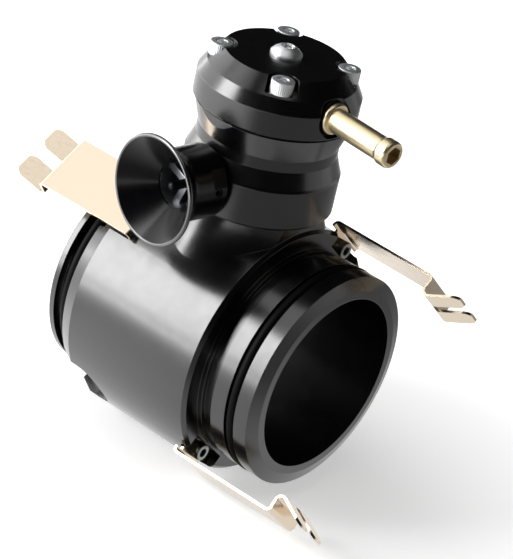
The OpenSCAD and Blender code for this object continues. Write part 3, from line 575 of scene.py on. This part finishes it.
class VALVE_OT_trumpet(bpy.types.Operator):
    """Models the trumpet with its straight bell"""
    bl_idname = "valve.trumpet"
    bl_label = "Trumpet"

    def execute(self, context):
        outlet = context.scene.valve_outlet
        slope = outlet.bell
        out_r, out_x = math.sin(slope), math.cos(slope)
        rim_r, rim_x = outlet.rim - outlet.roll, outlet.mouth - outlet.roll
        # The bell's two faces touch the rolled rim's circle and run back at one slope
        outer_r, outer_x = rim_r + outlet.roll * out_x, rim_x - outlet.roll * out_r
        corner = outer_x - (outer_r - outlet.tube) * out_x / out_r
        inner_r, inner_x = rim_r - outlet.roll * out_x, rim_x + outlet.roll * out_r
        land = inner_x - (inner_r - outlet.bore) * out_x / out_r
        run = outlet.fillet * math.tan(slope / 2)
        section = [(outlet.socket, outlet.seat), (outlet.tube - outlet.edge, outlet.seat),
                   (outlet.tube, outlet.seat + outlet.edge)]
        section += arc((outlet.tube + outlet.fillet, corner - run), outlet.fillet, math.pi, math.pi - slope, steps=10)
        section += arc((rim_r, rim_x), outlet.roll, -slope, math.pi - slope, steps=20)
        section += [(outlet.bore, land), (outlet.bore, outlet.throat), (outlet.socket, outlet.throat)]
        piece = put(turned_ring("trumpet_straight_bell", section, sides=144), along_outlet(outlet))
        hole = cylinder(ROUND_SIDES, outlet.screw, 2 * outlet.screw, outlet.tube)
        cut_away(piece, put(hole, set_screw_place(outlet)))
        fresh_selection()
        bpy.ops.mesh.primitive_cube_add(
            size=1, scale=(2 * outlet.flat_len, outlet.tube, 2 * outlet.tube),
            location=(outlet.seat, 1.5 * outlet.tube - outlet.flat_depth, 0))
        cut_away(piece, put(context.object, outlet_place(outlet) @ Matrix.Rotation(outlet.flat_turn, 4, "X")))
        colours = context.scene.valve_colours
        lathe = ((0, 0, outlet.height), (0, 0, outlet.turn))
        # A less glossy copy of the skin paints shade into the trumpet and its bell, and a glossier copy paints a
        # highlight on the rim
        skins = [turned_black("anodised_aluminium_trumpet_painted_shade", colours, *lathe, gloss=1.35),
                 turned_black("anodised_aluminium_rim_painted_highlight", colours, *lathe, gloss=2.2)]
        finish_piece(piece, skins, "trumpet")
        # The rolled rim wears the glossier copy, a painted highlight along the mouth
        rim_start, rim_inside = outlet.mouth - 2 * outlet.roll, outlet.rim - 1.5 * outlet.roll
        second_skin(piece, outlet, lambda place, radius: place > rim_start and radius > rim_inside)
        return {"FINISHED"}


class VALVE_OT_nipple(bpy.types.Operator):
    """Models the nipple behind the trumpet, with the cross in its end"""
    bl_idname = "valve.nipple"
    bl_label = "Outlet nipple"

    def execute(self, context):
        outlet = context.scene.valve_outlet
        colours = context.scene.valve_colours
        play, run_in, arm_edge = 0.03 * MM, 0.8 * MM, 0.25 * MM
        end = outlet.throat - play
        section = [(outlet.bore, outlet.thread_end), (outlet.thread, outlet.thread_end), (outlet.thread, outlet.seat),
                   (outlet.nipple, outlet.seat), (outlet.nipple, end), (outlet.bore, end)]
        piece = turned_ring("outlet_nipple_cross", section, sides=96)
        reach = outlet.bore + run_in
        for k in range(2):
            fresh_selection()
            bpy.ops.mesh.primitive_cube_add(size=1, scale=(2 * reach, outlet.arm_wide, outlet.arm_thick),
                                            location=(0, 0, outlet.arm_place - outlet.arm_thick / 2))
            bar = context.object
            bpy.ops.object.transform_apply(location=True, rotation=True, scale=True)
            bpy.ops.object.mode_set(mode="EDIT")
            bpy.ops.mesh.select_all(action="SELECT")
            bpy.ops.mesh.bevel(offset=arm_edge, segments=2)
            bpy.ops.object.mode_set(mode="OBJECT")
            put(bar, Matrix.Rotation(outlet.arm_turn + k * math.pi / 2, 4, "Z"))
            combine(piece, bar, "UNION")
        foot = outlet.arm_place - outlet.arm_thick / 2
        dome = 0.9 * outlet.stud
        stud = screw_head("stud", 2 * outlet.stud, outlet.stud_end - foot, ROUND_SIDES, dome, steps=6)
        put(stud, Matrix.Translation((0, 0, foot)))
        combine(piece, stud, "UNION")
        put(piece, along_outlet(outlet))
        # Bare aluminium greyed down: a painted shade of the trumpet over the nipple
        skin = bare_metal("aluminium_painted_trumpet_shade", colours.nipple, rough=0.35, grain=0.4, relief=0.005)
        dark = bare_metal("blackened_steel_stud", colours.black_steel, rough=0.4, grain=0.3, relief=0.005)
        finish_piece(piece, [skin, dark], "outlet_nipple")
        # The stud is blackened
        around = 1.05 * outlet.stud
        second_skin(piece, outlet, lambda place, radius: place > outlet.arm_place and radius < around)
        return {"FINISHED"}


class VALVE_OT_set_screw(bpy.types.Operator):
    """Models the set screw in the trumpet's tube"""
    bl_idname = "valve.set_screw"
    bl_label = "Trumpet set screw"

    def execute(self, context):
        outlet = context.scene.valve_outlet
        play, sunk = 0.02 * MM, 0.4 * MM
        low, high = outlet.nipple + play, outlet.tube - sunk
        piece = cylinder(ROUND_SIDES, outlet.screw - play, high - low, (low + high) / 2)
        piece.name = "trumpet_set_screw_socket"
        bpy.ops.object.transform_apply(location=True, rotation=True, scale=True)
        cut_away(piece, cylinder(HEX_SIDES, hex_corner(outlet.screw), high - low, high))
        put(piece, set_screw_place(outlet))
        black = context.scene.valve_colours.black_steel
        skin = bare_metal("blackened_steel", black, rough=0.4, grain=0.3, relief=0.005)
        finish_piece(piece, [skin], "trumpet_set_screw")
        return {"FINISHED"}


class VALVE_OT_return_spring(bpy.types.Operator):
    """Models the return spring as a coil at rest; the real spring shortens as the piston lifts"""
    bl_idname = "valve.return_spring"
    bl_label = "Return spring"

    def execute(self, context):
        sizes = context.scene.valve_sizes
        low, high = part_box("return_spring")
        wire = sizes.spring_wire
        fresh_selection()
        bpy.ops.mesh.primitive_circle_add(vertices=16, radius=wire / 2, rotation=(math.pi / 2, 0, 0),
                                          location=(sizes.spring_mid, 0, low[2] + wire / 2))
        piece = context.object
        piece.name = "return_spring_coil"
        bpy.ops.object.transform_apply(location=True, rotation=True, scale=True)
        bpy.ops.object.modifier_add(type="SCREW")
        coil = piece.modifiers[-1]
        coil.axis = "Z"
        coil.iterations = sizes.spring_turns
        coil.screw_offset = (high[2] - low[2] - wire) / sizes.spring_turns
        coil.steps = coil.render_steps = 40
        bpy.ops.object.modifier_apply(modifier=coil.name)
        bpy.ops.object.mode_set(mode="EDIT")
        bpy.ops.mesh.select_all(action="SELECT")
        bpy.ops.mesh.remove_doubles(threshold=WELD)
        bpy.ops.mesh.fill_holes(sides=0)
        bpy.ops.mesh.normals_make_consistent(inside=False)
        bpy.ops.object.mode_set(mode="OBJECT")
        steel = context.scene.valve_colours.wire_steel
        skin = bare_metal("drawn_wire_coil", steel, rough=0.3, grain=0.3, relief=0.01)
        finish_piece(piece, [skin], "return_spring")
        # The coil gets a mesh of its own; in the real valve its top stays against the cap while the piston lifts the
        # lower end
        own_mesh(piece)
        return {"FINISHED"}


class VALVE_OT_blanking_screw(bpy.types.Operator):
    """Models the domed screw in the middle of the cap and its washer"""
    bl_idname = "valve.blanking_screw"
    bl_label = "Blanking screw"

    def execute(self, context):
        sizes = context.scene.valve_sizes
        zinc = context.scene.valve_colours.zinc
        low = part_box("blanking_screw")[0]
        foot, seat = (corner[2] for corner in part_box("blanking_washer"))
        play, edge = 0.05 * MM, 0.1 * MM
        height = sizes.blank_height
        ball = ((sizes.blank_head / 2) ** 2 + height ** 2) / (2 * height)
        # The dome is turned a little, so that its edges miss the socket's corners
        turn = math.radians(1.7)
        fresh_selection()
        bpy.ops.mesh.primitive_uv_sphere_add(segments=64, ring_count=48, radius=ball, location=(0, 0, height - ball),
                                             rotation=(0, 0, turn))
        screw = context.object
        screw.name = "blanking_screw_domed"
        bpy.ops.object.transform_apply(location=True, rotation=True, scale=True)
        bpy.ops.object.mode_set(mode="EDIT")
        bpy.ops.mesh.select_all(action="SELECT")
        bpy.ops.mesh.bisect(plane_co=(0, 0, 0), plane_no=(0, 0, 1), use_fill=True, clear_inner=True)
        bpy.ops.object.mode_set(mode="OBJECT")
        # The dome falls away by this much at the socket's corners
        drop = ball - math.sqrt(ball ** 2 - hex_corner(sizes.blank_hex) ** 2)
        cut_socket(screw, height, sizes.blank_hex, depth=0.55 * height, drop=drop)
        add_shank(screw, sizes.blank_shank, seat - low[2])
        put(screw, Matrix.Translation((0, 0, seat)))
        skin = bare_metal("zinc_plated_steel", zinc, rough=0.45, grain=0.6, relief=0.003)
        finish_piece(screw, [skin], "blanking_screw")
        hole, outside = sizes.blank_shank / 2 + play, sizes.blank_washer / 2
        section = [(hole, foot), (outside, foot), (outside, seat - edge), (outside - edge, seat), (hole, seat)]
        washer = turned_ring("blanking_washer_thin", section, sides=64)
        finish_piece(washer, [skin], "blanking_washer")
        return {"FINISHED"}


class VALVE_OT_cap_screws(bpy.types.Operator):
    """Models the screws that hold the cap"""
    bl_idname = "valve.cap_screws"
    bl_label = "Cap screws"

    def execute(self, context):
        sizes = context.scene.valve_sizes
        low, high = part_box("cap_screws")
        seat = high[2] - sizes.cap_head_h
        pattern = knurled_screw("cap_screw", sizes.cap_head, sizes.cap_head_h, sizes.cap_shank, seat - low[2],
                                sizes.cap_hex)
        first, apart, count = math.radians(38), math.radians(90), 4
        turns = [first + apart * k for k in range(count)]
        out = Matrix.Translation((sizes.cap_circle, 0, seat))
        piece = set_out(pattern, [Matrix.Rotation(turn, 4, "Z") @ out for turn in turns], "cap_screws_knurled")
        zinc = context.scene.valve_colours.zinc
        wear(piece, [bare_metal("zinc_plated_cap_screws", zinc, rough=0.45, grain=0.6, relief=0.003)])
        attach(piece, "head")
        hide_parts("cap_screws")
        return {"FINISHED"}


class VALVE_OT_clip_screws(bpy.types.Operator):
    """Models the screws that hold the clips"""
    bl_idname = "valve.clip_screws"
    bl_label = "Clip screws"

    def execute(self, context):
        sizes = context.scene.valve_sizes
        low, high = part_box("clip_screws")
        pattern = knurled_screw("clip_screw", sizes.clip_head, sizes.clip_head_h, sizes.clip_shank,
                                sizes.clip_shank_len, sizes.clip_hex)
        front, rear = high[0] - sizes.clip_head_h, low[0] + sizes.clip_head_h
        places = []
        for face, angle, lean in ((front, sizes.front_turn, math.pi / 2), (rear, sizes.rear_turn, -math.pi / 2)):
            for opposite in (0, math.pi):
                turn = Matrix.Rotation(-angle - opposite, 4, "X")
                places.append(turn @ Matrix.Translation((face, 0, sizes.clip_circle)) @ Matrix.Rotation(lean, 4, "Y"))
        piece = set_out(pattern, places, "clip_screws_knurled")
        # The clip screws' plate carries a painted shade of the floor they mirror
        steel = context.scene.valve_colours.socket_steel_painted_shade
        wear(piece, [bare_metal("plated_clip_screws_painted_shade", steel, rough=0.3, grain=0.6, relief=0.003)])
        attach(piece, "adaptor")
        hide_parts("clip_screws")
        return {"FINISHED"}


def white_paper(name, stage):
    """Matt white paper: takes the object's shadow and reads as white to the eye however far it lies from the lamps. In
    the metal's reflections it shows painted light instead: a painted pool of lamp light on the left, brightest at the
    foot of the key light, and a painted glow close to the part."""
    material, tree, out = new_material(name)
    place = add(tree, "ShaderNodeTexCoord")
    # Paper fibre, about 2 mm
    fibre = add(tree, "ShaderNodeTexNoise", inputs={"Vector": place.outputs["Object"], "Scale": 1 / (2 * MM)})
    dull = add(tree, "ShaderNodeMapRange", inputs={"Value": fibre.outputs["Fac"], "To Min": 0.8, "To Max": 0.95})
    paper = add(tree, "ShaderNodeBsdfPrincipled",
                inputs={"Base Color": tuple(stage.floor), "Roughness": dull.outputs["Result"],
                        "Specular IOR Level": 0.1})
    # To the eye it glows whiter further from the part, making up for the lamps' fall-off, and less close to it, a
    # painted shade round the part; distances are in metres
    away = add(tree, "ShaderNodeVectorMath", {"operation": "LENGTH"}, {0: place.outputs["Object"]})
    glow = add(tree, "ShaderNodeMapRange",
               inputs={"Value": away.outputs["Value"], "From Min": 0.05, "From Max": 0.17,
                       "To Min": 0.48, "To Max": 0.85})
    rays = add(tree, "ShaderNodeLightPath")
    mirrored = add(tree, "ShaderNodeMath", {"operation": "MAXIMUM"},
                   {0: rays.outputs["Is Glossy Ray"], 1: rays.outputs["Is Transmission Ray"]})
    # In the metal's reflections the paper is painted light only: a painted pool, bright on the left before the lamps
    # and brightest at the foot of the key light
    left = add(tree, "ShaderNodeVectorMath", {"operation": "DOT_PRODUCT"},
               {0: place.outputs["Object"], 1: (-0.98, -0.2, 0.0)})
    painted_lamp_pool = add(tree, "ShaderNodeMapRange",
              inputs={"Value": left.outputs["Value"], "From Min": -0.02, "From Max": 0.1,
                      "To Min": 0.3, "To Max": 1.5})
    keyward = add(tree, "ShaderNodeVectorMath", {"operation": "DOT_PRODUCT"},
                  {0: place.outputs["Object"], 1: (-0.63, -0.78, 0.0)})
    foot = add(tree, "ShaderNodeMapRange",
               inputs={"Value": keyward.outputs["Value"], "From Min": 0.25, "From Max": 1.0,
                       "To Min": 0.0, "To Max": 4.7})
    # A painted glow close to the part, seen only in the metal's reflections
    near = add(tree, "ShaderNodeMapRange",
               inputs={"Value": away.outputs["Value"], "From Min": 0.09, "From Max": 0.17,
                       "To Min": 0.55, "To Max": 0.0})
    side = add(tree, "ShaderNodeMath", {"operation": "ADD"}, {0: painted_lamp_pool.outputs["Result"], 1: foot.outputs["Result"]})
    around = add(tree, "ShaderNodeMath", {"operation": "ADD"}, {0: side.outputs[0], 1: near.outputs["Result"]})
    seen = add(tree, "ShaderNodeMath", {"operation": "MULTIPLY"},
               {0: rays.outputs["Is Camera Ray"], 1: glow.outputs["Result"]})
    white = add(tree, "ShaderNodeEmission", inputs={"Color": (1, 1, 1, 1), "Strength": seen.outputs[0]})
    direct = add(tree, "ShaderNodeAddShader", inputs={0: paper.outputs["BSDF"], 1: white.outputs[0]})
    # The metal mirrors this painted light in place of the lit paper
    painted_floor_reflection = add(tree, "ShaderNodeEmission", inputs={"Color": (1, 1, 1, 1), "Strength": around.outputs[0]})
    both = add(tree, "ShaderNodeMixShader",
               inputs={0: mirrored.outputs[0], 1: direct.outputs[0], 2: painted_floor_reflection.outputs[0]})
    tree.links.new(both.outputs[0], out.inputs["Surface"])
    return material


def studio_air(scene):
    """A dark room above a pale horizon, which the camera sees as white."""
    world = bpy.data.worlds.new("studio_air")
    scene.world = world
    world.use_nodes = True
    tree = world.node_tree
    tree.nodes.clear()
    rays = add(tree, "ShaderNodeLightPath")
    way = add(tree, "ShaderNodeTexCoord")
    height = add(tree, "ShaderNodeSeparateXYZ", inputs={0: way.outputs["Generated"]})
    # The pale paper ends about five degrees above the horizon
    haze = add(tree, "ShaderNodeMapRange",
               inputs={"Value": height.outputs["Z"], "From Min": 0.0, "From Max": 0.09, "To Min": 0.2, "To Max": 0.01})
    room = add(tree, "ShaderNodeBackground", inputs={"Color": (1, 1, 1, 1), "Strength": haze.outputs["Result"]})
    white = add(tree, "ShaderNodeBackground", inputs={"Color": (1, 1, 1, 1), "Strength": 1.0})
    both = add(tree, "ShaderNodeMixShader", inputs={0: rays.outputs["Is Camera Ray"], 1: room.outputs[0],
                                                    2: white.outputs[0]})
    sky = add(tree, "ShaderNodeOutputWorld")
    tree.links.new(both.outputs[0], sky.inputs["Surface"])


def softbox(name, where, target, wide, tall, glow):
    """A lamp with an evenly bright face of this size, turned to a target."""
    lamp = bpy.data.lights.new(name, "AREA")
    lamp.shape = "RECTANGLE"
    lamp.size = wide
    lamp.size_y = tall
    lamp.energy = glow * math.pi * wide * tall
    box = bpy.data.objects.new(name, lamp)
    bpy.context.collection.objects.link(box)
    box.location = where
    box.rotation_euler = (target - where).to_track_quat("-Z", "Y").to_euler()


class VALVE_OT_stage(bpy.types.Operator):
    """Sets up the floor, the light and the camera"""
    bl_idname = "valve.stage"
    bl_label = "Studio stage"

    def execute(self, context):
        stage = context.scene.valve_stage
        scene = context.scene
        scene.view_settings.view_transform = "Standard"
        lowest = cad_box[0][2]
        fresh_selection()
        bpy.ops.mesh.primitive_circle_add(vertices=96, radius=4.0, fill_type="NGON", location=(0, 0, lowest))
        floor = context.object
        floor.name = "studio_floor"
        bpy.ops.object.transform_apply(location=True)
        floor.data.materials.append(white_paper("matt_white_paper_painted_light", stage))
        studio_air(scene)
        # The key light is dimmer near the floor
        foot_glow = 0.55 * stage.key_glow
        # Brightness, direction round the valve, distance, width, and lower and upper edge above the floor
        for name, glow, azimuth, away, wide, low, high in (
                ("key_softbox", stage.key_glow, -39, 1.20, 0.56, 0.15, 1.05),
                ("key_foot", foot_glow, -39, 1.20, 0.56, 0.0, 0.15),
                ("side_softbox", stage.side_glow, -80, 1.20, 1.25, 0.0, 0.95),
                ("back_card", stage.card_glow, 140, 0.90, 1.20, 0.0, 0.35)):
            angle = math.radians(azimuth)
            where = Vector((away * math.sin(angle), -away * math.cos(angle), lowest + (low + high) / 2))
            softbox(name, where, Vector((0, 0, where.z)), wide, high - low, glow)
        # Brightness, place, width and height of the boxes above, which look at the pipe's middle
        for name, glow, where, wide, tall in (
                ("high_softbox", stage.high_glow, (-0.41, -0.12, 0.62), 0.75, 0.4),
                ("top_softbox", stage.top_glow, (0.10, -0.16, 0.90), 0.5, 0.5)):
            softbox(name, Vector(where), Vector((0, 0, 0)), wide, tall, glow)

        # The camera's place and shift are fitted to the photo, as its direction and lens are
        camera = bpy.data.objects.new("photo_camera", bpy.data.cameras.new("photo_camera"))
        context.collection.objects.link(camera)
        camera.data.lens = stage.lens
        camera.data.sensor_width = 36.0
        camera.data.shift_x = -0.00055
        camera.data.shift_y = 0.00334
        back = Vector((math.sin(stage.azimuth) * math.cos(stage.elevation),
                       -math.cos(stage.azimuth) * math.cos(stage.elevation), math.sin(stage.elevation)))
        camera.location = Vector((402.527, -566.226, 374.049)) * MM
        camera.rotation_mode = "QUATERNION"
        camera.rotation_quaternion = (-back).to_track_quat("-Z", "Y") @ Quaternion((0, 0, 1), stage.roll)
        camera.data.clip_start = 0.01
        camera.data.clip_end = 50
        scene.camera = camera
        return {"FINISHED"}


class VALVE_PT_panel(bpy.types.Panel):
    """Lists the steps of the finish"""
    bl_idname = "VALVE_PT_panel"
    bl_label = "Blow off valve"
    bl_space_type = "VIEW_3D"
    bl_region_type = "UI"
    bl_category = "Valve"

    def draw(self, context):
        for step in STEPS:
            self.layout.operator(step.bl_idname)
        scene = context.scene
        for group in (scene.valve_colours, scene.valve_sizes, scene.valve_outlet, scene.valve_stage):
            column = self.layout.column()
            for key in group.__annotations__:
                column.prop(group, key)


STEPS = (VALVE_OT_black_parts, VALVE_OT_seals, VALVE_OT_bright_parts, VALVE_OT_trumpet, VALVE_OT_nipple,
         VALVE_OT_set_screw, VALVE_OT_return_spring, VALVE_OT_blanking_screw, VALVE_OT_cap_screws,
         VALVE_OT_clip_screws, VALVE_OT_stage)
CLASSES = (ValveColours, ValveSizes, ValveOutlet, ValveStage) + STEPS + (VALVE_PT_panel,)


def register():
    """Registers the classes and hangs their settings on the scene."""
    for item in CLASSES:
        bpy.utils.register_class(item)
    bpy.types.Scene.valve_colours = bpy.props.PointerProperty(type=ValveColours)
    bpy.types.Scene.valve_sizes = bpy.props.PointerProperty(type=ValveSizes)
    bpy.types.Scene.valve_outlet = bpy.props.PointerProperty(type=ValveOutlet)
    bpy.types.Scene.valve_stage = bpy.props.PointerProperty(type=ValveStage)


def unregister():
    """Takes the settings and the classes away again."""
    del bpy.types.Scene.valve_stage
    del bpy.types.Scene.valve_outlet
    del bpy.types.Scene.valve_sizes
    del bpy.types.Scene.valve_colours
    for item in reversed(CLASSES):
        bpy.utils.unregister_class(item)


def main():
    """Runs every step in order."""
    register()
    bpy.ops.valve.black_parts()
    bpy.ops.valve.seals()
    bpy.ops.valve.bright_parts()
    bpy.ops.valve.trumpet()
    bpy.ops.valve.nipple()
    bpy.ops.valve.set_screw()
    bpy.ops.valve.return_spring()
    bpy.ops.valve.blanking_screw()
    bpy.ops.valve.cap_screws()
    bpy.ops.valve.clip_screws()
    bpy.ops.valve.stage()


if __name__ == "__main__":
    main()
